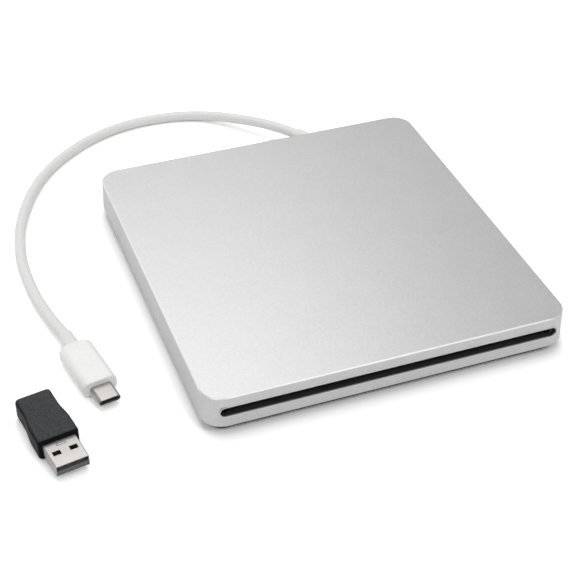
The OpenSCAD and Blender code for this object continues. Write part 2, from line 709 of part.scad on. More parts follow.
module guide_rods() {
    color("gainsboro") lowered() for (s = [-1, 1]) bar_y(rod_d, rod_y0 + 0.4, rod_y1 - 0.4, [s * rod_x, rod_z]);
}

module sled_motor() {
    color("silver") lowered() difference() {
        bar_y(sled_motor_d, sled_motor_y1 - sled_motor_l, sled_motor_y1, [screw_x, screw_z]);
        bar_y(1 + 2 * running, sled_motor_y1 - 2, sled_motor_y1 + 1, [screw_x, screw_z]);
    }
}

module lead_screw() {
    color("gainsboro") lowered() {
        bar_y(1, sled_motor_y1 - 1.8, rod_y1 - 0.3, [screw_x, screw_z]);
        bar_y(lead_screw_d, sled_motor_y1 + 0.3, rod_y1 - 2.3, [screw_x, screw_z]);
    }
}

// Pickup housing on its two rods, with the follower that rides on the lead screw
module pickup_sled() {
    y0 = lens_y - sled_front;
    y1 = lens_y + sled_back;
    color("gray") lowered() difference() {
        union() {
            box([-sled_x, y0, sled_z0], [sled_x, y1, sled_z1]);
            box([sled_x - 1, lens_y - 3, plate_top + 0.5],
                [screw_x - lead_screw_d / 2 - 0.15, lens_y + 3, sled_z1]);
        }
        for (s = [-1, 1]) bar_y(rod_d + 2 * running, y0 - 1, y1 + 1, [s * rod_x, rod_z]);
        box([rod_x, y0 - 1, rod_z - rod_d / 2 - running], [sled_x + 1, y1 + 1, rod_z + rod_d / 2 + running]);
        box([-6, lens_y - 5, pocket_z], [6, lens_y + 4.6, sled_z1 + 1]);
    }
}

module actuator_yoke() {
    color("dimgray") lowered() for (y = [lens_y - 5, lens_y + 3.8])
        box([-5, y, pocket_z], [5, y + 0.8, sled_z1 - 0.1]);
}

module lens_holder() {
    color("darkslategray") lowered() difference() {
        box([-3.6, lens_y - 3.6, holder_z], [3.6, lens_y + 3.2, holder_z + 1]);
        bar_z(lens_d - 0.8, holder_z - 1, holder_z + 2, [0, lens_y]);
    }
}

module objective_lens() {
    color("lightblue") lowered() translate([0, lens_y, holder_z + 1])
        rotate_extrude()
            polygon(concat([[0, 0]], [for (a = [0:15:90]) [lens_d / 2 * cos(a), 0.15 + 0.35 * sin(a)]], [[0, 0.5]]));
}

main_board_z = deck_z + 0.6;
main_board_x = [1.8 - wall_x, -traverse_w / 2 - 5];
main_board_y = [spindle_y - 25, chassis_y1 - 14];
main_board_spots = [for (x = [main_board_x[0] + 3, main_board_x[1] - 3], y = [main_board_y[0] + 3,
    main_board_y[1] - 3]) [x, y]];

module main_board() {
    color("darkgreen") box([main_board_x[0], main_board_y[0], main_board_z],
        [main_board_x[1], main_board_y[1], main_board_z + 0.8]);
}

module board_chips() {
    middle = (main_board_x[0] + main_board_x[1]) / 2;
    color("black") for (c = [[-2, 31, 14, 14], [0, 5, 12, 8], [-2, -13, 7, 7]])
        translate([middle + c[0], spindle_y + c[1], main_board_z + 1.3]) cube([c[2], c[3], 1], center = true);
}

bridge_z = cover_top + 2;
bridge_x = [4.8 - wall_x, boot_x + 10];
bridge_y = [chassis_y1 + 1.2, inner_d / 2 - 2.4];
board_spots = [for (x = [bridge_x[0] + 4, boot_x - 26, bridge_x[1] - 4]) [x, bridge_y[0] + 2]];

module bridge_board() {
    color("darkgreen") box([bridge_x[0], bridge_y[0], bridge_z], [bridge_x[1], bridge_y[1], bridge_z + 1]);
}

module bridge_chips() {
    color("black") for (c = [[boot_x - 24, 8, 8], [boot_x - 14, 4, 5]])
        translate([c[0], (bridge_y[0] + bridge_y[1]) / 2, bridge_z + 1.5]) cube([c[1], c[2], 1], center = true);
}

module module_connector() {
    color("black") box([bridge_x[0] + 14, chassis_y1, bridge_z + 1],
        [bridge_x[0] + 44, bridge_y[0] + 3, bridge_z + 4.4]);
}

module lead_connector() {
    color("ivory") box([boot_x - 5, bridge_y[0] + 0.6, bridge_z + 1], [boot_x + 5, bridge_y[1] - 6, boot_z + 3]);
}

module inner_lead() {
    color("white") bar_y(cable_d, bridge_y[1] - 6, inner_d / 2 - 2, [boot_x, boot_z]);
}

// A round bar through places, square to a heading at each, with a radius at each
module bent_bar(places, headings, radii, n) {
    last = len(places) - 1;
    points = [for (i = [0:last]) let (s = unit(cross(headings[i], [0, 0, 1])), u = cross(s, headings[i]))
        for (k = [0:n - 1]) places[i] + radii[i] * (s * cos(360 * k / n) + u * sin(360 * k / n))];
    sides = [for (i = [0:last - 1], k = [0:n - 1]) let (a = i * n + k, b = i * n + (k + 1) % n)
        each [[a, b, b + n], [a, b + n, a + n]]];
    caps = [for (k = [1:n - 2]) each [[0, k + 1, k], [last * n, last * n + k, last * n + k + 1]]];
    polyhedron(points, concat(sides, caps));
}

// Flange inside the wall, neck through it, and a sleeve that bends and tapers to the lead
module strain_relief() {
    neck = cable_d / 2 + 0.8;
    start = cable_d / 2 + 1.1;
    end = cable_d / 2 + 0.5;
    y0 = inner_d / 2 - 2;
    steps = 6;
    straight = [[y0, start + 0.8], [y0 + 2, start + 0.8], [y0 + 2, neck], [boot_y0, neck]];
    turns = [for (i = [0:steps]) boot_turn * i / steps];
    color("white") bent_bar(
        concat([for (p = straight) [boot_x, p[0], boot_z]],
            [for (a = turns) [boot_x - boot_bend_r * (1 - cos(a)), boot_y0 + boot_bend_r * sin(a), boot_z]]),
        concat([for (p = straight) [0, 1, 0]], [for (a = turns) [-sin(a), cos(a), 0]]),
        concat([for (p = straight) p[1]], [for (i = [0:steps]) start + (end - start) * i / steps]), 24);
}

// A smooth curve through the lead's points, at half steps
function lead_curve(p, i) = i % 2 == 0 ? p[i / 2] : let (k = (i - 1) / 2, a = p[max(k - 1, 0)], b = p[k],
    c = p[k + 1], d = p[min(k + 2, len(p) - 1)]) (9 * (b + c) - a - d) / 16;

module usb_lead() {
    last = 2 * len(lead_points) - 2;
    line = [for (i = [0:last]) lead_curve(lead_points, i)];
    heading = [for (i = [0:last]) i == 0 ? [-sin(boot_turn), cos(boot_turn), 0]
        : i == last ? [sin(plug_turn), -cos(plug_turn), 0] : unit(line[i + 1] - line[i - 1])];
    color("white") bent_bar(line, heading, [for (p = line) cable_d / 2], lead_sides);
}

// The plug lies on the table and points along its own -Y
module at_plug() {
    translate([plug_at[0], plug_at[1], plug_t / 2]) rotate(plug_turn) children();
}

// A rounded bar along -Y from y0
module plug_bar(w, t, r, y0, length) {
    translate([0, -y0, 0]) rotate([90, 0, 0]) linear_extrude(length) rounded_plan(w, t, r);
}

module plug_collar() {
    color("white") at_plug() rotate([90, 0, 0]) cylinder(d1 = collar_d - 0.4, d2 = collar_d, h = collar_l);
}

module plug_grip() {
    color("white") at_plug() plug_bar(plug_w, plug_t, plug_t * 0.4, collar_l, plug_l);
}

module plug_shell() {
    color("silver") at_plug() difference() {
        plug_bar(plug_shell_w, plug_shell_t, plug_shell_t / 2 - 0.01, collar_l + plug_l, plug_shell_l);
        plug_bar(plug_shell_w - 0.5, plug_shell_t - 0.5, plug_shell_t / 2 - 0.26, collar_l + plug_l + 0.5, plug_shell_l);
    }
}

module plug_contacts() {
    w = plug_shell_w - 0.5 - 2 * press;
    t = plug_shell_t - 0.5 - 2 * press;
    color("black") at_plug() difference() {
        plug_bar(w, t, t / 2 - 0.01, collar_l + plug_l + 0.5, plug_shell_l - 0.7);
        plug_bar(w - 1, 0.8, 0.3, collar_l + plug_l + 1.5, plug_shell_l);
    }
}

// The adapter lies on the table beside the plug and points along its own -Y
module at_adapter() {
    translate([adapter_at[0], adapter_at[1], adapter_t / 2]) rotate(adapter_turn) children();
}

// Half of the adapter's width at a share of its length: narrow socket end, swelling to the plug end
function adapter_half(u) = let (s = min(max((u - 0.33) / 0.36, 0), 1))
    adapter_back_w / 2 + (adapter_front_w - adapter_back_w) / 2 * (1 - cos(180 * s)) / 2;

socket_w = 8.9;
socket_t = 3.2;
socket_l = 7;

module adapter_housing() {
    steps = 14;
    side = [for (i = [0:steps]) [adapter_half(i / steps), -adapter_l * i / steps]];
    other = [for (i = [steps:-1:0]) [-side[i][0], side[i][1]]];
    edge = 1.2;
    color("dimgray") at_adapter() difference() {
        intersection() {
            translate([0, 0, -adapter_t / 2]) linear_extrude(adapter_t) polygon(concat(side, other));
            plug_bar(adapter_front_w, adapter_t, edge, 0, adapter_l);
        }
        plug_bar(socket_w, socket_t, socket_t / 2 - 0.01, -1, socket_l + 1);
    }
}

module adapter_socket() {
    color("silver") at_adapter() difference() {
        plug_bar(socket_w, socket_t, socket_t / 2 - 0.01, 0.1, socket_l - 0.1);
        plug_bar(plug_shell_w + 0.1, plug_shell_t + 0.1, plug_shell_t / 2, -1, socket_l);
    }
}

module adapter_plug() {
    wall = 0.3;
    hole = [2.9, 2.1];
    color("silver") at_adapter() difference() {
        plug_bar(adapter_plug_w, adapter_plug_t, 0.35, adapter_l, adapter_plug_l);
        plug_bar(adapter_plug_w - 2 * wall, adapter_plug_t - 2 * wall, 0.1, adapter_l + 0.5, adapter_plug_l);
        for (s = [-1, 1]) translate([s * 3.05, -adapter_l - 5.6, 0])
            cube([hole[0], hole[1], 2 * adapter_plug_t], center = true);
    }
}

module adapter_contacts() {
    w = adapter_plug_w - 0.8;
    base = -adapter_plug_t / 2 + 0.3 + press;
    color("gray") at_adapter() box([-w / 2, -adapter_l - adapter_plug_l + 0.3, base],
        [w / 2, -adapter_l - 0.5 - press, base + 1.7]);
}

top_shell();
bottom_cover();
rubber_feet();
case_screws();
slot_felts();
damper_pads();
module_tray();
module_lid();
module_screws();
lid_screws();
disc_guides();
loading_motor();
motor_pinion();
reduction_gear();
idler_gear();
roller_gear();
cam_gear();
cam_slider();
side_studs();
roller_bracket();
roller_shaft();
loading_roller();
traverse_plate();
spindle_motor();
turntable();
turntable_pad();
hub_claws();
guide_rods();
sled_motor();
lead_screw();
pickup_sled();
actuator_yoke();
lens_holder();
objective_lens();
main_board();
board_chips();
bridge_board();
bridge_chips();
module_connector();
lead_connector();
inner_lead();
strain_relief();
usb_lead();
plug_collar();
plug_grip();
plug_shell();
plug_contacts();
adapter_housing();
adapter_socket();
adapter_plug();
adapter_contacts();
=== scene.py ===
"""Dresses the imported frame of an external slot-loading disc drive with its lead, plug and adapter."""

import json
import math

import bmesh
import bpy
from bpy.props import FloatProperty, FloatVectorProperty, IntProperty, PointerProperty
from mathutils import Matrix, Vector


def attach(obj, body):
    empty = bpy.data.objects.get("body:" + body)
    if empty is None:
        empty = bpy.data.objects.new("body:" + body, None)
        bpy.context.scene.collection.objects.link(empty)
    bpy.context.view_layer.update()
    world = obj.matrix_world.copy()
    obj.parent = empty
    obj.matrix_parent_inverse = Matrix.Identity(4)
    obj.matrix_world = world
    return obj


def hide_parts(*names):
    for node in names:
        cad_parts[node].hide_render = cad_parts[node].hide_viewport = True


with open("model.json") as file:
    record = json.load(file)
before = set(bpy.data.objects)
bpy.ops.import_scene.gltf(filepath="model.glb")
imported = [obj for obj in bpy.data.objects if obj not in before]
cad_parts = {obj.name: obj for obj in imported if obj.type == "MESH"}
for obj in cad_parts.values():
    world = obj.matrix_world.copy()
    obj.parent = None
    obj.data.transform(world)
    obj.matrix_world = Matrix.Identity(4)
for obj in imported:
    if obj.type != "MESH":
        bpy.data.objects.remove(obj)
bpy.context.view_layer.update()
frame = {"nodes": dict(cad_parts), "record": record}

bl_info = {
    "name": "Disc Drive Dressing",
    "version": (1, 0, 0),
    "blender": (4, 5, 0),
    "location": "View3D > Sidebar > Disc Drive",
    "description": "Lead, plug, adapter, trim, finishes and stage of a slot-loading disc drive",
    "category": "Object",
}

MM = 0.001
ROUND_STEPS = 40  # points round a turned form
NODES = frame["nodes"]
SLOT_OF = {part["node"]: part["material_slot"] for part in frame["record"]["subparts"]}
SLOT_OF["bottom_cover"] = "bare_cover"  # it shares the adapter's slot, but is duller and darker

# The lead's route from the strain relief to the plug, in metres
LEAD_ROUTE = [
    (0.02407, 0.08850, 0.00800), (0.02220, 0.09150, 0.00795), (0.01960, 0.09570, 0.00760),
    (0.01690, 0.10010, 0.00710), (0.01200, 0.10620, 0.00650), (0.00510, 0.11450, 0.00500),
    (-0.00450, 0.12390, 0.00320), (-0.01630, 0.12990, 0.00230), (-0.02980, 0.13190, 0.00230),
    (-0.04340, 0.13110, 0.00230), (-0.06000, 0.12570, 0.00230), (-0.07320, 0.11750, 0.00230),
    (-0.08430, 0.10770, 0.00230), (-0.09350, 0.09550, 0.00230), (-0.10060, 0.08180, 0.00230),
    (-0.10560, 0.06840, 0.00230), (-0.10840, 0.05610, 0.00230), (-0.11000, 0.04400, 0.00230),
    (-0.11010, 0.03110, 0.00230), (-0.10940, 0.01930, 0.00240), (-0.10760, 0.00720, 0.00270),
    (-0.10570, -0.00220, 0.00325), (-0.10420, -0.00800, 0.00345),
]
# Where the plug and the adapter lie: both point along their own -Y, turned by the same angle
LAID = Matrix.Rotation(math.radians(9.8), 4, "Z")
AT_PLUG = Matrix.Translation((-0.1042, -0.0080, 0.00345)) @ LAID
AT_ADAPTER = Matrix.Translation((-0.12313, -0.04074, 0.0043)) @ LAID
# The case in mm, as in its solids: slot, leaning front wall, and the sharp lower edge, below which the
# undercut is painted dark as shade
SLOT_WIDE, SLOT_HIGH, SLOT_LEVEL = 130, 4.2, 10.2
FRONT, TOP, LEAN = -75, 16.6, math.radians(1.5)
LOWER_EDGE = 4.0


def linear(code):
    """Linear RGBA of an sRGB hex colour such as C8C9CB."""
    parts = [int(code[i:i + 2], 16) / 255 for i in (0, 2, 4)]
    return tuple(c / 12.92 if c <= 0.04045 else ((c + 0.055) / 1.055) ** 2.4 for c in parts) + (1.0,)


def add(tree, kind, values=None, wires=None, **settings):
    """Adds a node: settings are its options, values its sockets' constants, wires the links into them."""
    made = tree.nodes.new(kind)
    for key, value in settings.items():
        setattr(made, key, value)
    for key, value in (values or {}).items():
        made.inputs[key].default_value = value
    for key, source in (wires or {}).items():
        tree.links.new(source, made.inputs[key])
    return made


def blank(name):
    """A new material without nodes; returns it, its tree and the place of a point on the piece, in metres."""
    finish = bpy.data.materials.new(name)
    finish.use_nodes = True
    finish.node_tree.nodes.clear()
    return finish, finish.node_tree, add(finish.node_tree, "ShaderNodeTexCoord").outputs["Object"]


def darker(colour, share):
    """A linear colour at a share of its light."""
    return tuple(c * share for c in colour[:3]) + (1.0,)


def grained(name, dark, light, grain, rough, relief, shader=None, stretch=(1, 1, 1)):
    """A finish whose tone, gloss and relief follow one grain.

    It takes two hex or linear tones, the grain's size in mm, roughness from and to, relief in mm, the
    shader's constants, and how much finer the grain is along each axis.
    """
    finish, tree, place = blank(name)
    dark, light = (linear(tone) if isinstance(tone, str) else tone for tone in (dark, light))
    laid = add(tree, "ShaderNodeMapping", {"Scale": stretch}, {"Vector": place})
    noise = add(tree, "ShaderNodeTexNoise", {"Scale": 1 / (grain * MM), "Detail": 3.0, "Roughness": 0.6},
                {"Vector": laid.outputs[0]})
    spread = add(tree, "ShaderNodeMapRange", {"From Min": 0.3, "From Max": 0.7}, {"Value": noise.outputs[0]})
    tone = add(tree, "ShaderNodeMix", {6: dark, 7: light}, {0: spread.outputs[0]}, data_type="RGBA")
    gloss = add(tree, "ShaderNodeMapRange", {"To Min": rough[0], "To Max": rough[1]},
                {"Value": spread.outputs[0]})
    bump = add(tree, "ShaderNodeBump", {"Strength": 0.6, "Distance": relief * MM},
               {"Height": spread.outputs[0]})
    skin = add(tree, "ShaderNodeBsdfPrincipled", shader,
               {"Base Color": tone.outputs[2], "Roughness": gloss.outputs[0], "Normal": bump.outputs[0]})
    add(tree, "ShaderNodeOutputMaterial", wires={"Surface": skin.outputs[0]})
    return finish


def silver_lacquer():
    """Silver lacquer sprayed on moulded ABS."""
    # Satin and neutral: aluminium flakes scatter a broad highlight. Real flakes are about 0.03 mm, and they
    # are drawn 0.5 mm coarse and faint, so that they show. The 45 degree bevel is painted lighter and less
    # metallic: a painted highlight for the light that this edge catches. Below the sharp lower edge the
    # undercut is painted near black, dull and not metallic: painted shade for the gap under the case.
    finish, tree, place = blank("silver_lacquer_on_abs")
    flakes = add(tree, "ShaderNodeTexVoronoi", {"Scale": 1 / (0.5 * MM)}, {"Vector": place})
    each = add(tree, "ShaderNodeSeparateColor", wires={0: flakes.outputs["Color"]})
    cloud = add(tree, "ShaderNodeTexNoise", {"Scale": 1 / (14 * MM), "Detail": 2.0}, {"Vector": place})
    blend = add(tree, "ShaderNodeMix", {0: 0.4}, {2: each.outputs[0], 3: cloud.outputs[0]})
    colour = bpy.context.scene.drive_colours.case[:]
    silver = add(tree, "ShaderNodeMix", {6: darker(colour, 0.86), 7: colour}, {0: blend.outputs[0]},
                 data_type="RGBA")
    high = add(tree, "ShaderNodeSeparateXYZ", wires={0: place}).outputs["Z"]
    # Below the sharp lower edge the finish turns near black, dull and not metallic: painted shade
    above_painted_shade = add(tree, "ShaderNodeMapRange",
                  {"From Min": (LOWER_EDGE - 0.1) * MM, "From Max": LOWER_EDGE * MM}, {"Value": high})
    facing = add(tree, "ShaderNodeNewGeometry").outputs["True Normal"]
    up = add(tree, "ShaderNodeSeparateXYZ", wires={0: facing}).outputs["Z"]
    # Faces that lean about 45 degrees up, such as the top bevel, get a painted highlight: lighter and less
    # metallic
    edge_highlight_mask = add(tree, "ShaderNodeMath", {1: 0.707, 2: 0.2}, {0: up}, operation="COMPARE")
    flaked = add(tree, "ShaderNodeMapRange", {"To Min": 0.7, "To Max": 0.4}, {"Value": edge_highlight_mask.outputs[0]})
    metal = add(tree, "ShaderNodeMath", None, {0: above_painted_shade.outputs[0], 1: flaked.outputs[0]},
                operation="MULTIPLY")
    painted_highlight_tone = add(tree, "ShaderNodeMix", {7: linear("DCDCDC")}, {0: edge_highlight_mask.outputs[0], 6: silver.outputs[2]},
                data_type="RGBA")
    tone = add(tree, "ShaderNodeMix", {6: linear("0E0F10")}, {0: above_painted_shade.outputs[0], 7: painted_highlight_tone.outputs[2]},
               data_type="RGBA")
    satin = add(tree, "ShaderNodeMapRange", {"To Min": 0.36, "To Max": 0.42}, {"Value": blend.outputs[0]})
    gloss = add(tree, "ShaderNodeMix", {2: 0.95}, {0: above_painted_shade.outputs[0], 3: satin.outputs[0]})
    bump = add(tree, "ShaderNodeBump", {"Strength": 0.15, "Distance": 0.01 * MM}, {"Height": each.outputs[0]})
    skin = add(tree, "ShaderNodeBsdfPrincipled", {"Specular IOR Level": 0.0},
               {"Base Color": tone.outputs[2], "Metallic": metal.outputs[0], "Roughness": gloss.outputs[0],
                "Normal": bump.outputs[0]})
    add(tree, "ShaderNodeOutputMaterial", wires={"Surface": skin.outputs[0]})
    return finish


def dust_felt():
    """Needled black felt."""
    # Matt and deep, with fibres about 0.2 mm apart that catch a little light from the side.
    return grained("needled_felt", "0C0C0D", "202022", 0.25, (0.9, 1.0), 0.15,
                   {"Sheen Weight": 0.1, "Sheen Roughness": 0.5}, (1, 3, 3))


def galvanised_sheet():
    """Hot-dip galvanised steel sheet, stamped."""
    # Zinc crystals a few millimetres across tilt the shine from one to the next.
    finish, tree, place = blank("galvanised_steel_sheet")
    spangle = add(tree, "ShaderNodeTexVoronoi", {"Scale": 1 / (6 * MM)}, {"Vector": place})
    each = add(tree, "ShaderNodeSeparateColor", wires={0: spangle.outputs["Color"]})
    tone = add(tree, "ShaderNodeMix", {6: linear("A9ACAF"), 7: linear("C2C5C8")}, {0: each.outputs[0]},
               data_type="RGBA")
    gloss = add(tree, "ShaderNodeMapRange", {"To Min": 0.28, "To Max": 0.45}, {"Value": each.outputs[1]})
    skin = add(tree, "ShaderNodeBsdfPrincipled", {"Metallic": 1.0},
               {"Base Color": tone.outputs[2], "Roughness": gloss.outputs[0]})
    add(tree, "ShaderNodeOutputMaterial", wires={"Surface": skin.outputs[0]})
    return finish


def enamelled_winding():
    """Enamelled copper wire, wound."""
    # Amber-brown turns about 0.12 mm thick; drawn 0.3 mm so that they show. The bands of the wave lie
    # 0.314 / scale apart.
    finish, tree, place = blank("enamelled_copper_wire")
    turns = add(tree, "ShaderNodeTexWave", {"Scale": 1 / (math.pi * 0.3 * MM), "Distortion": 0.4},
                {"Vector": place}, bands_direction="Z")
    tone = add(tree, "ShaderNodeMix", {6: linear("6E3314"), 7: linear("C4763A")}, {0: turns.outputs["Fac"]},
               data_type="RGBA")
    bump = add(tree, "ShaderNodeBump", {"Strength": 0.8, "Distance": 0.05 * MM},
               {"Height": turns.outputs["Fac"]})
    skin = add(tree, "ShaderNodeBsdfPrincipled",
               {"Metallic": 1.0, "Roughness": 0.3, "Coat Weight": 0.6, "Coat Roughness": 0.15},
               {"Base Color": tone.outputs[2], "Normal": bump.outputs[0]})
    add(tree, "ShaderNodeOutputMaterial", wires={"Surface": skin.outputs[0]})
    return finish


def masked_board():
    """Glass-epoxy circuit board under green solder mask."""
    # The copper below shows as lighter bands 0.9 mm apart under the glossy mask.
    finish, tree, place = blank("solder_masked_board")
    tracks = add(tree, "ShaderNodeTexBrick", {
        "Color1": linear("1C5B39"), "Color2": linear("236B43"), "Mortar": linear("123F28"), "Scale": 1.0,
        "Mortar Size": 0.25 * MM, "Brick Width": 9 * MM, "Row Height": 0.9 * MM}, {"Vector": place})
    bump = add(tree, "ShaderNodeBump", {"Strength": 0.4, "Distance": 0.03 * MM},
               {"Height": tracks.outputs["Fac"]}, invert=True)
    skin = add(tree, "ShaderNodeBsdfPrincipled", {"Roughness": 0.32, "IOR": 1.55},
               {"Base Color": tracks.outputs["Color"], "Normal": bump.outputs[0]})
    add(tree, "ShaderNodeOutputMaterial", wires={"Surface": skin.outputs[0]})
    return finish


def coated_lens():
    """Moulded lens with an antireflection coating."""
    # Clear, with the faint blue that the coating leaves, a little uneven across the lens.
    finish, tree, place = blank("coated_lens_glass")
    haze = add(tree, "ShaderNodeTexNoise", {"Scale": 1 / (1.5 * MM)}, {"Vector": place})
    tone = add(tree, "ShaderNodeMix", {6: linear("B9C6E8"), 7: linear("DDE4F4")}, {0: haze.outputs[0]},
               data_type="RGBA")
    skin = add(tree, "ShaderNodeBsdfPrincipled", {"Roughness": 0.03, "IOR": 1.5, "Transmission Weight": 1.0},
               {"Base Color": tone.outputs[2]})
    add(tree, "ShaderNodeOutputMaterial", wires={"Surface": skin.outputs[0]})
    return finish


def rubber_mould():
    """Moulded black rubber."""
    # Dull, with the fine bloom of an eroded mould.
    return grained("moulded_rubber", "1E1E1F", "2D2D2E", 0.5, (0.75, 0.9), 0.04,
                   {"Specular IOR Level": 0.3})


def zinc_plated_screw():
    """Zinc-plated steel, cold headed."""
    # Bright blue-white plating with a faint grain.
    return grained("zinc_plated_steel", "B3B6BA", "CDD0D3", 0.4, (0.25, 0.38), 0.005, {"Metallic": 1.0})


def black_acetal():
    """Moulded black acetal."""
    # Waxy and nearly smooth.
    return grained("black_acetal", "171718", "232324", 0.6, (0.32, 0.42), 0.008)


def plated_can():
    """Nickel-plated steel, deep drawn."""
    # Fine draw lines along the can's length.
    return grained("drawn_nickel_plated_can", "A3A4A3", "C2C2BF", 0.3, (0.2, 0.34), 0.004, {"Metallic": 1.0},
                   (0.1, 3, 3))


def white_acetal():
    """Natural acetal, moulded."""
    # Milky, with light going a little way in.
    return grained("natural_acetal", "E2E1DA", "EDECE6", 0.6, (0.34, 0.45), 0.008,
                   {"Subsurface Weight": 0.1, "Subsurface Scale": 0.6 * MM})


def tan_acetal():
    """Tinted acetal, moulded."""
    # The tan of a filled gear compound.
    return grained("tan_acetal", "B59A6C", "C6AC7E", 0.6, (0.36, 0.48), 0.008)


def ground_steel():
    """Centreless ground steel rod."""
    # Grinding rings about 0.1 mm apart round the rod; drawn 0.25 mm.
    return grained("ground_steel_rod", "B9BABB", "D6D7D8", 0.25, (0.1, 0.2), 0.002, {"Metallic": 1.0},
                   (3, 1, 0.3))


def roller_rubber():
    """Ground grip rubber."""
    # Velvety dark grey with a ground nap.
    return grained("ground_grip_rubber", "2B2A29", "3C3A38", 0.25, (0.8, 0.95), 0.05,
                   {"Specular IOR Level": 0.3})


def pickup_casting():
    """Zinc die casting, bead blasted."""
    # Grey and slightly grainy.
    return grained("zinc_die_casting", "86888B", "A2A4A6", 0.35, (0.42, 0.58), 0.02, {"Metallic": 1.0})


def yoke_steel():
    """Stamped nickel-plated steel."""
    # Rolled grain along the strip.
    return grained("stamped_yoke_steel", "8C8E90", "A9ABAC", 0.3, (0.28, 0.4), 0.004, {"Metallic": 1.0},
                   (1, 0.15, 1))


def lens_holder_resin():
    """Liquid-crystal polymer, moulded."""
    # Very dark grey with flow lines.
    return grained("crystal_polymer", "1F1F20", "34333A", 0.4, (0.4, 0.55), 0.01, None, (1, 0.3, 1))


def chip_epoxy():
    """Filled epoxy, transfer moulded."""
    # Charcoal with a fine sandy mould texture.
    return grained("filled_epoxy", "1B1B1C", "2C2C2D", 0.2, (0.55, 0.7), 0.015)


def ivory_nylon():
    """Ivory nylon, moulded."""
    # Warm white and slightly translucent.
    return grained("ivory_nylon", "DDD5BC", "E9E2CD", 0.6, (0.38, 0.5), 0.008)


def white_lead_jacket():
    """Thermoplastic elastomer, extruded."""
    # Soft white with a silky, slightly uneven skin from the die.
    colour = bpy.context.scene.drive_colours.lead[:]
    return grained("extruded_white_elastomer", darker(colour, 0.93), colour, 1.1, (0.42, 0.52), 0.012,
                   {"Subsurface Weight": 0.06, "Subsurface Scale": 0.8 * MM})


def white_grip_moulding():
    """Polycarbonate blend, moulded with a fine texture."""
    # White and satin, with the stipple of a spark-eroded mould, drawn 0.6 mm coarse so that it shows.
    colour = bpy.context.scene.drive_colours.grip[:]
    return grained("textured_white_polycarbonate", darker(colour, 0.91), colour, 0.6, (0.36, 0.48), 0.012)


def nickel_plate():
    """Nickel plate on stamped steel."""
    # Bright, faintly warm, with rolling lines along the strip.
    colour = bpy.context.scene.drive_colours.metal[:]
    return grained("nickel_plated_steel", darker(colour, 0.83), colour, 0.35, (0.36, 0.48), 0.003,
                   {"Metallic": 1.0}, (3, 0.3, 3))


def black_speckled_abs():
    """Charcoal ABS, moulded with a fine texture; its flat faces are painted lighter than its walls."""
    # The flat faces, top and bottom, carry a grey speckle, drawn 0.6 mm coarse so that it shows, and a
    # lighter tone than the walls and rounded edges, which are painted near black: painted light and painted
    # shade.
    finish, tree, place = blank("textured_charcoal_abs")
    grit = add(tree, "ShaderNodeTexNoise", {"Scale": 1 / (0.6 * MM), "Detail": 3.0, "Roughness": 0.6},
               {"Vector": place})
    speck = add(tree, "ShaderNodeMapRange", {"From Min": 0.3, "From Max": 0.7}, {"Value": grit.outputs[0]})
    facing = add(tree, "ShaderNodeNewGeometry").outputs["True Normal"]
    up = add(tree, "ShaderNodeSeparateXYZ", wires={0: facing}).outputs["Z"]
    level = add(tree, "ShaderNodeMath", None, {0: up}, operation="ABSOLUTE")
    # Faces that point straight up or down take the lighter tone, walls and rounded edges the near-black one
    painted_face_light = add(tree, "ShaderNodeMapRange", {"From Min": 0.6, "From Max": 0.97}, {"Value": level.outputs[0]})
    colour = bpy.context.scene.drive_colours.adapter[:]
    face = add(tree, "ShaderNodeMix", {6: darker(colour, 0.5), 7: colour}, {0: speck.outputs[0]},
               data_type="RGBA")
    tone = add(tree, "ShaderNodeMix", {6: linear("161617")}, {0: painted_face_light.outputs[0], 7: face.outputs[2]},
               data_type="RGBA")
    gloss = add(tree, "ShaderNodeMapRange", {"To Min": 0.40, "To Max": 0.55}, {"Value": painted_face_light.outputs[0]})
    bump = add(tree, "ShaderNodeBump", {"Strength": 0.6, "Distance": 0.012 * MM},
               {"Height": speck.outputs[0]})
    skin = add(tree, "ShaderNodeBsdfPrincipled", {"Specular IOR Level": 0.03},
               {"Base Color": tone.outputs[2], "Roughness": gloss.outputs[0], "Normal": bump.outputs[0]})
    add(tree, "ShaderNodeOutputMaterial", wires={"Surface": skin.outputs[0]})
    return finish


def bare_cover_abs():
    """Charcoal ABS, moulded and left bare."""
    # Near black and dull, so that it reads as one dark line under the silver.
    return grained("bare_charcoal_abs", "101112", "1E1F20", 0.6, (0.85, 0.95), 0.02,
                   {"Specular IOR Level": 0.1})


def grey_insert():
    """Glass-filled nylon, moulded."""
    # Slate grey and matt, with short fibres just under the skin.
    return grained("slate_filled_nylon", "4E5258", "646970", 0.3, (0.5, 0.62), 0.01, None, (1, 0.3, 1))


def gold_flash():
    """Gold flash on contact springs."""
    # Warm yellow, soft shine.
    return grained("gold_flashed_contacts", "C79B4B", "E0B969", 0.3, (0.2, 0.3), 0.002, {"Metallic": 1.0})


FINISHES = {
    "silver_abs": silver_lacquer, "foot_rubber": rubber_mould, "screw_steel": zinc_plated_screw,
    "slot_felt": dust_felt, "zinc_sheet": galvanised_sheet, "black_acetal": black_acetal,
    "motor_can": plated_can, "white_acetal": white_acetal, "tan_acetal": tan_acetal,
    "polished_steel": ground_steel, "roller_rubber": roller_rubber, "copper_winding": enamelled_winding,
    "pickup_casting": pickup_casting, "yoke_steel": yoke_steel, "lens_holder_polymer": lens_holder_resin,
    "lens_glass": coated_lens, "circuit_board": masked_board, "black_moulding": chip_epoxy,
    "ivory_nylon": ivory_nylon, "white_tpe": white_lead_jacket, "white_grip": white_grip_moulding,
    "nickel_shell": nickel_plate, "black_abs": black_speckled_abs, "bare_cover": bare_cover_abs,
    "grey_insert": grey_insert, "gold_flash": gold_flash,
}
MADE = {}


def finish_for(slot):
    """The finish of a material slot, made once."""
    if slot not in MADE:
        MADE[slot] = FINISHES[slot]()
    return MADE[slot]


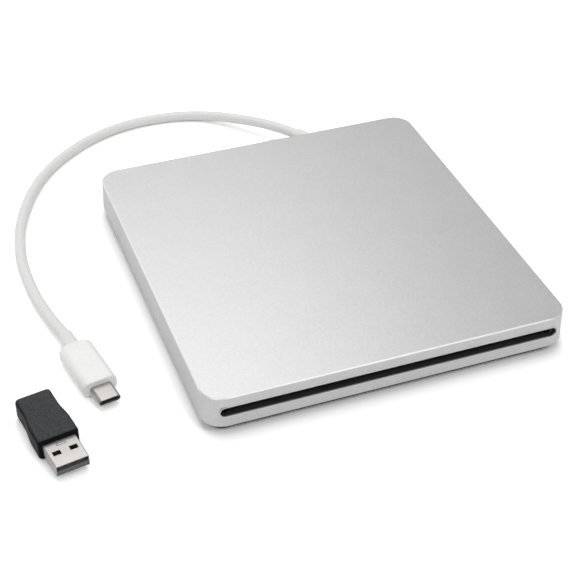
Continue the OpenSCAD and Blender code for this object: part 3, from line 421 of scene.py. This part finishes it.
def paint(obj, slot):
    """Gives a piece the finish of a slot, and no other."""
    obj.data.materials.clear()
    obj.data.materials.append(finish_for(slot))


def smooth(obj, angle=35.0):
    """Smooth shading with hard edges above an angle."""
    mesh = obj.data
    mesh.polygons.foreach_set("use_smooth", [True] * len(mesh.polygons))
    mesh.set_sharp_from_angle(angle=math.radians(angle))


def outline(w, t, r, steps=8):
    """Points of a rounded rectangle, w by t in mm, round the XZ plane."""
    r = min(r, w / 2 - 0.001, t / 2 - 0.001)
    points = []
    for turn, sx, sz in ((0, 1, 1), (90, -1, 1), (180, -1, -1), (270, 1, -1)):
        for i in range(steps + 1):
            a = math.radians(turn + 90 * i / steps)
            points.append((sx * (w / 2 - r) + r * math.cos(a), sz * (t / 2 - r) + r * math.sin(a)))
    return points


def loft(name, rings, place=None, ends=(True, True)):
    """A skin through rings of points in mm, closed at the chosen ends; place puts it in the frame."""
    grid = bmesh.new()
    rows = [[grid.verts.new((place or Matrix()) @ (Vector(p) * MM)) for p in ring] for ring in rings]
    count = len(rings[0])
    for a, b in zip(rows, rows[1:]):
        for i in range(count):
            j = (i + 1) % count
            grid.faces.new((a[i], a[j], b[j], b[i]))
    if ends[0]:
        grid.faces.new(reversed(rows[0]))
    if ends[1]:
        grid.faces.new(rows[-1])
    bmesh.ops.recalc_face_normals(grid, faces=grid.faces)
    mesh = bpy.data.meshes.new(name)
    grid.to_mesh(mesh)
    grid.free()
    obj = bpy.data.objects.new(name, mesh)
    bpy.context.collection.objects.link(obj)
    smooth(obj)
    return obj


def bar(w, t, r, stations, flat=1.0):
    """Rings of a rounded bar along -Y: each station is a distance and how far the outline is drawn in, in mm.

    The thickness is drawn in by the share flat of that.
    """
    rings = []
    for distance, inset in stations:
        section = outline(w - 2 * inset, t - 2 * inset * flat, max(r - inset * flat, 0.05))
        rings.append([(x, -distance, z) for x, z in section])
    return rings


def turned(profile, steps=ROUND_STEPS):
    """Rings of a turned form along -Y from pairs of distance and radius, in mm."""
    angles = [2 * math.pi * i / steps for i in range(steps)]
    return [[(r * math.cos(a), -d, r * math.sin(a)) for a in angles] for d, r in profile]


def rounding(start, radius, steps=6, rising=True):
    """Stations of a quarter round: the form rises to its full size over the radius, or falls from it."""
    pairs = []
    for i in range(steps + 1):
        a = math.pi / 2 * i / steps
        along, inset = radius * (1 - math.cos(a)), radius * (1 - math.sin(a))
        pairs.append((start + along, inset) if rising else (start + radius - along, inset))
    return pairs if rising else pairs[::-1]


def put(obj, body, slot, *nodes):
    """Finishes a piece, lets it ride on a body and stand for CAD nodes."""
    paint(obj, slot)
    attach(obj, body)
    if nodes:
        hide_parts(*nodes)


def dress(name):
    """Gives a CAD node its finish, rounds its shading and keeps its flat faces flat."""
    obj = NODES[name]
    paint(obj, SLOT_OF[name])
    obj.data.polygons.foreach_set("use_smooth", [True] * len(obj.data.polygons))
    weld = obj.modifiers.new("weld", "WELD")
    weld.merge_threshold = 1e-6
    split = obj.modifiers.new("hard_edges", "EDGE_SPLIT")
    split.split_angle = math.radians(32)
    flat = obj.modifiers.new("flat_faces", "WEIGHTED_NORMAL")
    flat.mode, flat.weight, flat.keep_sharp = "FACE_AREA", 100, True


class DriveSizes(bpy.types.PropertyGroup):
    """Sizes of the pieces that Blender makes."""

    lead_diameter: FloatProperty(name="Lead diameter", description="Diameter of the lead's jacket",
                                 default=0.0044, unit="LENGTH")
    lead_length: FloatProperty(name="Lead length", description="Length of the lead along its middle",
                               default=0.257, unit="LENGTH")
    lead_turns: IntProperty(name="Lead smoothness", description="Steps between two points of the lead",
                            default=8)
    lip_width: FloatProperty(name="Slot lip", description="Width of the bright edge round the disc slot",
                             default=0.00035, unit="LENGTH")


class DriveColours(bpy.types.PropertyGroup):
    """Colours of the finishes that show; each finish varies a little below its colour."""

    case: FloatVectorProperty(name="Case", description="Silver lacquer of the case", size=4, subtype="COLOR",
                              default=linear("CCCCCC"))
    lead: FloatVectorProperty(name="Lead", description="Jacket of the lead, its sleeve and the plug's collar",
                              size=4, subtype="COLOR", default=linear("E4E4E3"))
    grip: FloatVectorProperty(name="Grip", description="Moulding of the plug's grip", size=4, subtype="COLOR",
                              default=linear("F0F0EF"))
    # The adapter's broad faces are painted lighter than its near-black walls, as painted light
    adapter: FloatVectorProperty(name="Adapter", description="Broad faces of the adapter's moulding", size=4,
                                 subtype="COLOR", default=linear("4E4F51"))
    metal: FloatVectorProperty(name="Connectors", description="Plate of the two metal connectors", size=4,
                               subtype="COLOR", default=linear("B1AFAC"))


class StageLook(bpy.types.PropertyGroup):
    """Camera, colours and light levels of the stage."""

    focal_length: FloatProperty(name="Focal length", description="Lens of the camera, on a 36 mm sensor",
                                default=85.24, subtype="DISTANCE_CAMERA")
    camera_azimuth: FloatProperty(name="Azimuth", description="Camera's angle round the drive",
                                  default=math.radians(-19.9086), subtype="ANGLE")
    camera_elevation: FloatProperty(name="Elevation", description="Camera's angle above the table",
                                    default=math.radians(38.2335), subtype="ANGLE")
    camera_place: FloatVectorProperty(name="Camera place", description="Where the camera stands",
                                      default=(-0.16129, -0.40127, 0.33267), subtype="TRANSLATION")
    camera_shift: FloatProperty(name="Shift", description="Sideways shift of the lens in frame widths",
                                default=0.0139)
    floor: FloatVectorProperty(name="Floor", description="Colour of the table", size=4, subtype="COLOR",
                               default=linear("F4F4F4"))
    floor_mirrored: FloatProperty(name="Mirrored floor",
                                  description="Lightness of the table in metal or glass", default=1.1)
    floor_seen: FloatProperty(name="Floor seen", description="Lightness of the table to the camera",
                              default=1.35)
    sky: FloatVectorProperty(name="Studio", description="Colour of the studio's soft light", size=4,
                             subtype="COLOR", default=linear("FFFFFF"))
    sky_light: FloatProperty(name="Studio light", description="Strength of the studio's soft light",
                             default=0.42)


class DRIVE_OT_stage(bpy.types.Operator):
    """Camera, table, soft lights and white surroundings"""

    bl_idname = "drive.stage"
    bl_label = "Stage"

    def execute(self, context):
        look = context.scene.drive_stage
        az, el = look.camera_azimuth, look.camera_elevation
        back = Vector((math.sin(az) * math.cos(el), -math.cos(az) * math.cos(el), math.sin(el)))
        right = Vector((0, 0, 1)).cross(back).normalized()
        up = back.cross(right)
        lens = bpy.data.cameras.new("photo_camera")
        lens.lens, lens.sensor_width, lens.shift_x = look.focal_length, 36.0, look.camera_shift
        lens.clip_start, lens.clip_end = 0.01, 20.0
        camera = bpy.data.objects.new("photo_camera", lens)
        context.collection.objects.link(camera)
        turn = Matrix((right, up, back)).transposed().to_4x4()
        camera.matrix_world = Matrix.Translation(look.camera_place) @ turn
        context.scene.camera = camera

        grid = bmesh.new()
        bmesh.ops.create_grid(grid, x_segments=1, y_segments=1, size=4.0)
        mesh = bpy.data.meshes.new("table_top")
        grid.to_mesh(mesh)
        grid.free()
        table = bpy.data.objects.new("table_top", mesh)
        context.collection.objects.link(table)
        mesh.materials.append(self.white_paper(look))

        # Each lamp's place and diameter in metres and its power in watts; all point at the drive's middle
        middle = Vector((0, 0, 0.01))
        for name, place, size, power in (
            ("softbox_above", (-0.05, 0.15, 1.20), 0.80, 3.4),
            ("softbox_back", (0.059, 0.675, 0.867), 0.715, 2.55),
            ("softbox_left", (-0.89, 0.95, 0.257), 0.40, 1.4),
            ("softbox_front", (0.32, -0.74, 0.89), 0.44, 2.4),
            ("softbox_fill", (-0.62, -0.60, 0.82), 0.60, 2.0),
        ):
            lamp = bpy.data.lights.new(name, "AREA")
            lamp.shape, lamp.size, lamp.energy = "DISK", size, power
            softbox = bpy.data.objects.new(name, lamp)
            context.collection.objects.link(softbox)
            aim = (middle - Vector(place)).to_track_quat("-Z", "Y")
            softbox.matrix_world = Matrix.Translation(place) @ aim.to_matrix().to_4x4()

        world = bpy.data.worlds.new("white_studio")
        context.scene.world = world
        world.use_nodes = True
        tree = world.node_tree
        tree.nodes.clear()
        seen = self.seen_directly(tree)
        lit = add(tree, "ShaderNodeBackground", {"Color": look.sky[:], "Strength": look.sky_light})
        # White at the horizon and greyer overhead in what the metal mirrors, white all over to the camera
        ray = add(tree, "ShaderNodeTexCoord").outputs["Generated"]
        rise = add(tree, "ShaderNodeSeparateXYZ", wires={0: ray}).outputs["Z"]
        fade = add(tree, "ShaderNodeMapRange",
                   {"From Min": 0.02, "From Max": 0.16, "To Min": 1.0, "To Max": 0.49}, {"Value": rise})
        direct = add(tree, "ShaderNodeLightPath").outputs["Is Camera Ray"]
        level = add(tree, "ShaderNodeMath", wires={0: fade.outputs[0], 1: direct}, operation="MAXIMUM")
        shown = add(tree, "ShaderNodeBackground", {"Color": look.sky[:]}, {"Strength": level.outputs[0]})
        mixed = add(tree, "ShaderNodeMixShader", None, {0: seen, 1: lit.outputs[0], 2: shown.outputs[0]})
        add(tree, "ShaderNodeOutputWorld", wires={"Surface": mixed.outputs[0]})
        context.scene.view_settings.view_transform = "Standard"
        return {"FINISHED"}

    def seen_directly(self, tree):
        """1 for what the camera sees, also by way of metal or glass."""
        path = add(tree, "ShaderNodeLightPath")
        gloss = add(tree, "ShaderNodeMath", None,
                    {0: path.outputs["Is Camera Ray"], 1: path.outputs["Is Glossy Ray"]}, operation="MAXIMUM")
        clear = add(tree, "ShaderNodeMath", None,
                    {0: gloss.outputs[0], 1: path.outputs["Is Transmission Ray"]}, operation="MAXIMUM")
        return clear.outputs[0]

    def white_paper(self, look):
        """Matt white paper, lighter to the camera than to the object, so that only the shadows show on it."""
        finish, tree, place = blank("white_paper_sweep")
        fibre = add(tree, "ShaderNodeTexNoise", {"Scale": 1 / (2 * MM)}, {"Vector": place})
        bump = add(tree, "ShaderNodeBump", {"Strength": 0.05, "Distance": 0.02 * MM},
                   {"Height": fibre.outputs[0]})
        in_metal, to_camera = ((level, level, level, 1) for level in (look.floor_mirrored, look.floor_seen))
        mirrored = add(tree, "ShaderNodeMix", {6: look.floor[:], 7: in_metal}, {0: self.seen_directly(tree)},
                       data_type="RGBA")
        direct = add(tree, "ShaderNodeLightPath").outputs["Is Camera Ray"]
        shade = add(tree, "ShaderNodeMix", {7: to_camera}, {0: direct, 6: mirrored.outputs[2]},
                    data_type="RGBA")
        matt = add(tree, "ShaderNodeBsdfDiffuse", None,
                   {"Color": shade.outputs[2], "Normal": bump.outputs[0]})
        # Away from the object's shadow the paper turns into the plain white of the surroundings
        reach = add(tree, "ShaderNodeVectorMath", None, {0: place}, operation="LENGTH").outputs["Value"]
        away = add(tree, "ShaderNodeMapRange", {"From Min": 0.25, "From Max": 0.60}, {"Value": reach})
        plain = add(tree, "ShaderNodeMath", None, {0: away.outputs[0], 1: self.seen_directly(tree)},
                    operation="MULTIPLY")
        white = add(tree, "ShaderNodeEmission", {"Color": look.sky[:], "Strength": 1.0})
        sweep = add(tree, "ShaderNodeMixShader", None,
                    {0: plain.outputs[0], 1: matt.outputs[0], 2: white.outputs[0]})
        add(tree, "ShaderNodeOutputMaterial", wires={"Surface": sweep.outputs[0]})
        finish.cycles.emission_sampling = "NONE"
        return finish


class DRIVE_OT_lead(bpy.types.Operator):
    """The lead and the strain relief where it leaves the case"""

    bl_idname = "drive.lead"
    bl_label = "Lead"

    def execute(self, context):
        sizes = context.scene.drive_sizes
        curve = bpy.data.curves.new("usb_lead_jacket", "CURVE")
        curve.dimensions = "3D"
        curve.resolution_u = sizes.lead_turns
        curve.bevel_depth, curve.bevel_resolution, curve.use_fill_caps = sizes.lead_diameter / 2, 8, True
        line = curve.splines.new("BEZIER")
        line.bezier_points.add(len(LEAD_ROUTE) - 1)
        for knot, place in zip(line.bezier_points, LEAD_ROUTE):
            knot.co = place
            knot.handle_left_type = knot.handle_right_type = "AUTO"
        lead = bpy.data.objects.new("usb_lead_jacket", curve)
        context.collection.objects.link(lead)
        put(lead, "case", "white_tpe", "usb_lead")

        # The strain relief in mm: it leaves the rear wall at out_x, out_y, high and bends to the left by
        # turn. Each ring has the Y where its bend starts, its share of the bend and its radius.
        turn, length, inside = math.radians(32), 13.7, 4.9
        out_x, out_y, high = 27.8, 75.5, 8.0
        radius = length / turn
        flange = ((0, 3.9), (0.15, 4.1), (1.85, 4.1), (2, 4), (2, 3), (inside, 3))
        rings = [(out_y - inside + d, 0, r) for d, r in flange]
        rings += [(out_y, 0, 3.15), (out_y, 0.005, 3.3)]
        rings += [(out_y, s, 3.3 - 0.58 * s) for s in (0.03 + 0.92 * i / 24 for i in range(25))]
        rings += [(out_y, 0.975, 2.66), (out_y, 0.99, 2.56), (out_y, 1.0, 2.4)]
        skin = []
        for base, share, r in rings:
            a = turn * share
            middle = Vector((out_x - radius * (1 - math.cos(a)), base + radius * math.sin(a), high))
            side, up = Vector((math.cos(a), math.sin(a), 0)), Vector((0, 0, 1))
            angles = (2 * math.pi * i / ROUND_STEPS for i in range(ROUND_STEPS))
            skin.append([middle + r * (side * math.cos(b) + up * math.sin(b)) for b in angles])
        sleeve = loft("strain_relief_sleeve", skin)
        put(sleeve, "case", "white_tpe", "strain_relief")
        return {"FINISHED"}


class DRIVE_OT_plug(bpy.types.Operator):
    """The lead's plug: collar, grip and metal shell"""

    bl_idname = "drive.plug"
    bl_label = "Plug"

    def execute(self, context):
        collar = loft("plug_collar_sleeve", turned(
            [(-0.05, 2.15), (0.0, 2.45), (0.15, 2.62), (0.45, 2.7), (8.6, 2.9)]), AT_PLUG)
        put(collar, "case", "white_tpe", "plug_collar")

        wide, thick, corner = 13.1, 6.9, 2.8
        back = bar(wide, thick, corner, rounding(8.5, 2.2, 8) + [(14, 0), (20, 0), (26, 0)], 0.25)
        front = bar(wide, thick, corner, rounding(32.1, 0.6, 5, False))
        grip = loft("plug_grip_moulding", back + front, AT_PLUG)
        put(grip, "case", "white_grip", "plug_grip")

        # Out along the shell's outside, round its rim and back in along its inside
        wide, thick, corner, wall = 8.3, 2.5, 1.24, 0.25
        stations = [(32.5, 0), (32.75, 0), (36, 0), (40.5, 0), (40.72, 0.03), (40.84, 0.08), (40.9, 0.14),
                    (40.86, 0.2), (40.75, wall), (36, wall), (33.2, wall)]
        shell = loft("plug_metal_shell", bar(wide, thick, corner, stations), AT_PLUG, (False, True))
        put(shell, "case", "nickel_shell", "plug_shell")

        return {"FINISHED"}


class DRIVE_OT_adapter(bpy.types.Operator):
    """The loose adapter: housing, metal plug and contact springs"""

    bl_idname = "drive.adapter"
    bl_label = "Adapter"

    def execute(self, context):
        length, thick, narrow, swell = 24.2, 8.6, 13.2, 1.8

        def width(distance):
            """The housing's width, which swells in the middle third of its length."""
            share = min(max((distance / length - 0.33) / 0.36, 0), 1)
            return narrow + swell * (1 - math.cos(math.pi * share)) / 2

        stations = rounding(0, 1.0, 6)
        stations += [(1.0 + 22.3 * i / 24, 0) for i in range(1, 25)]
        stations += rounding(23.3, 0.9, 6, False)
        rings = []
        for distance, inset in stations:
            section = outline(width(distance) - 2 * inset, thick - 2 * inset, max(1.5 - inset * 0.6, 0.3))
            rings.append([(x, -distance, z) for x, z in section])
        # The socket's mouth, from its bottom out to its flared rim
        mouth = bar(8.9, 3.2, 1.59, [(7.0, 0), (0.25, 0), (0.05, -0.1), (0, -0.25)])
        housing = loft("adapter_housing_moulding", mouth + rings, AT_ADAPTER)
        put(housing, "adapter", "black_abs", "adapter_housing")

        plug_wide, plug_thick, corner, wall = 12.0, 4.5, 0.4, 0.3
        stations = [(24.0, 0), (24.8, 0), (35.8, 0), (35.92, 0.03), (36.0, 0.1), (36.0, 0.22), (35.9, wall),
                    (24.8, wall)]
        rings = bar(plug_wide, plug_thick, corner, stations)
        shell = loft("adapter_metal_plug", rings, AT_ADAPTER, (False, True))
        for side in (-1, 1):
            self.pierce(shell, (side * 3.05, -29.8, 0), (2.9, 2.1, 12))
        put(shell, "adapter", "nickel_shell", "adapter_plug")

        # The stamped line is a groove too fine to cut: a flush dark ring stands for the shade in it
        ring = []
        steps = ((0, -0.05), (0, 0.004), (0.03, 0.012), (0.19, 0.012), (0.22, 0.004), (0.22, -0.05))
        for inset, high in steps:
            section = outline(3.6 - 2 * inset, 1.2 - 2 * inset, 0.59)
            ring.append([(x, -26.2 + z, plug_thick / 2 + high) for x, z in section])
        oval = loft("adapter_stamped_oval", ring, AT_ADAPTER, (False, False))
        put(oval, "adapter", "black_moulding")

        strips, strip = bmesh.new(), Vector((1.0, 7.6, 0.1)) * MM
        for x in (-3.5, -1.0, 1.0, 3.5):
            place = AT_ADAPTER @ Matrix.Translation(Vector((x, -30.4, -0.24)) * MM)
            made = bmesh.ops.create_cube(strips, size=1.0)["verts"]
            bmesh.ops.scale(strips, vec=strip, verts=made)
            bmesh.ops.transform(strips, matrix=place, verts=made)
        bmesh.ops.bevel(strips, geom=strips.edges[:], offset=0.04 * MM, segments=2, affect="EDGES")
        mesh = bpy.data.meshes.new("adapter_contact_strips")
        strips.to_mesh(mesh)
        strips.free()
        contacts = bpy.data.objects.new("adapter_contact_strips", mesh)
        context.collection.objects.link(contacts)
        smooth(contacts)
        put(contacts, "adapter", "gold_flash")
        return {"FINISHED"}

    def pierce(self, shell, place, size):
        """Cuts a square window through the metal plug."""
        grid = bmesh.new()
        bmesh.ops.create_cube(grid, size=1.0)
        bmesh.ops.scale(grid, vec=Vector(size) * MM, verts=grid.verts)
        bmesh.ops.translate(grid, vec=Vector(place) * MM, verts=grid.verts)
        bmesh.ops.transform(grid, matrix=AT_ADAPTER, verts=grid.verts)
        mesh = bpy.data.meshes.new("window")
        grid.to_mesh(mesh)
        grid.free()
        cutter = bpy.data.objects.new("window", mesh)
        bpy.context.collection.objects.link(cutter)
        cut = shell.modifiers.new("window", "BOOLEAN")
        cut.object, cut.operation, cut.solver = cutter, "DIFFERENCE", "EXACT"
        bpy.context.view_layer.update()
        view = bpy.context.evaluated_depsgraph_get()
        solid = bpy.data.meshes.new_from_object(shell.evaluated_get(view))
        shell.modifiers.clear()
        shell.data = solid
        bpy.data.objects.remove(cutter)
        smooth(shell)


class DRIVE_OT_slot_trim(bpy.types.Operator):
    """The bright edge round the disc slot and the dark liner inside it"""

    bl_idname = "drive.slot_trim"
    bl_label = "Slot trim"

    def execute(self, context):
        def band(grow, depth):
            """The slot's outline, grown in mm, at a depth behind the leaning front wall."""
            points = []
            for x, z in outline(SLOT_WIDE + 2 * grow, SLOT_HIGH + 2 * grow, SLOT_HIGH / 2 + grow, 12):
                high = z + SLOT_LEVEL
                points.append((x, FRONT - (TOP - high) * math.tan(LEAN) + depth, high))
            return points

        # The lip lies on the front wall and turns into the slot; the liner starts inside it
        wide = context.scene.drive_sizes.lip_width / MM
        across = ((wide, 0.02), (wide, -0.03), (wide * 0.8, -0.07), (wide * 0.45, -0.08), (0.02, -0.04),
                  (-0.2, 0.1), (-0.28, 0.35), (-0.28, 0.6))
        lip = loft("slot_lip", [band(*step) for step in across], None, (False, False))
        put(lip, "case", "silver_abs")
        inward = ((-0.2, 0.55), (-0.08, 0.62), (-0.08, 2.55))
        liner = loft("slot_liner", [band(*step) for step in inward], None, (False, False))
        put(liner, "case", "slot_felt")
        return {"FINISHED"}


class DRIVE_OT_case(bpy.types.Operator):
    """Finish of the case, its feet and its screws"""

    bl_idname = "drive.case"
    bl_label = "Case"

    def execute(self, context):
        for name in ("top_shell", "bottom_cover", "rubber_feet", "case_screws", "slot_felts", "damper_pads"):
            dress(name)
        return {"FINISHED"}


class DRIVE_OT_mechanism(bpy.types.Operator):
    """Finish of the disc module, its drive, its pickup and the boards"""

    bl_idname = "drive.mechanism"
    bl_label = "Mechanism"

    def execute(self, context):
        for name, obj in NODES.items():
            if not obj.data.materials or obj.data.materials[0] not in MADE.values():
                dress(name)
        return {"FINISHED"}


class DRIVE_PT_panel(bpy.types.Panel):
    """Lists the drive's pieces and sizes"""

    bl_idname = "DRIVE_PT_panel"
    bl_label = "Disc Drive"
    bl_space_type = "VIEW_3D"
    bl_region_type = "UI"
    bl_category = "Disc Drive"

    def draw(self, context):
        for step in STEPS:
            self.layout.operator(step.bl_idname)
        for name in GROUPS:
            group, box = getattr(context.scene, name), self.layout.box()
            for key in group.bl_rna.properties.keys():
                if key not in ("rna_type", "name"):
                    box.prop(group, key)


STEPS = (DRIVE_OT_stage, DRIVE_OT_lead, DRIVE_OT_plug, DRIVE_OT_adapter, DRIVE_OT_slot_trim, DRIVE_OT_case,
         DRIVE_OT_mechanism)
GROUPS = {"drive_sizes": DriveSizes, "drive_colours": DriveColours, "drive_stage": StageLook}
CLASSES = (*GROUPS.values(), *STEPS, DRIVE_PT_panel)


def register():
    for cls in CLASSES:
        bpy.utils.register_class(cls)
    for name, group in GROUPS.items():
        setattr(bpy.types.Scene, name, PointerProperty(type=group))


def unregister():
    for name in GROUPS:
        delattr(bpy.types.Scene, name)
    for cls in reversed(CLASSES):
        bpy.utils.unregister_class(cls)


def main():
    register()
    bpy.ops.drive.stage()
    bpy.ops.drive.lead()
    bpy.ops.drive.plug()
    bpy.ops.drive.adapter()
    bpy.ops.drive.slot_trim()
    bpy.ops.drive.case()
    bpy.ops.drive.mechanism()


if __name__ == "__main__":
    main()
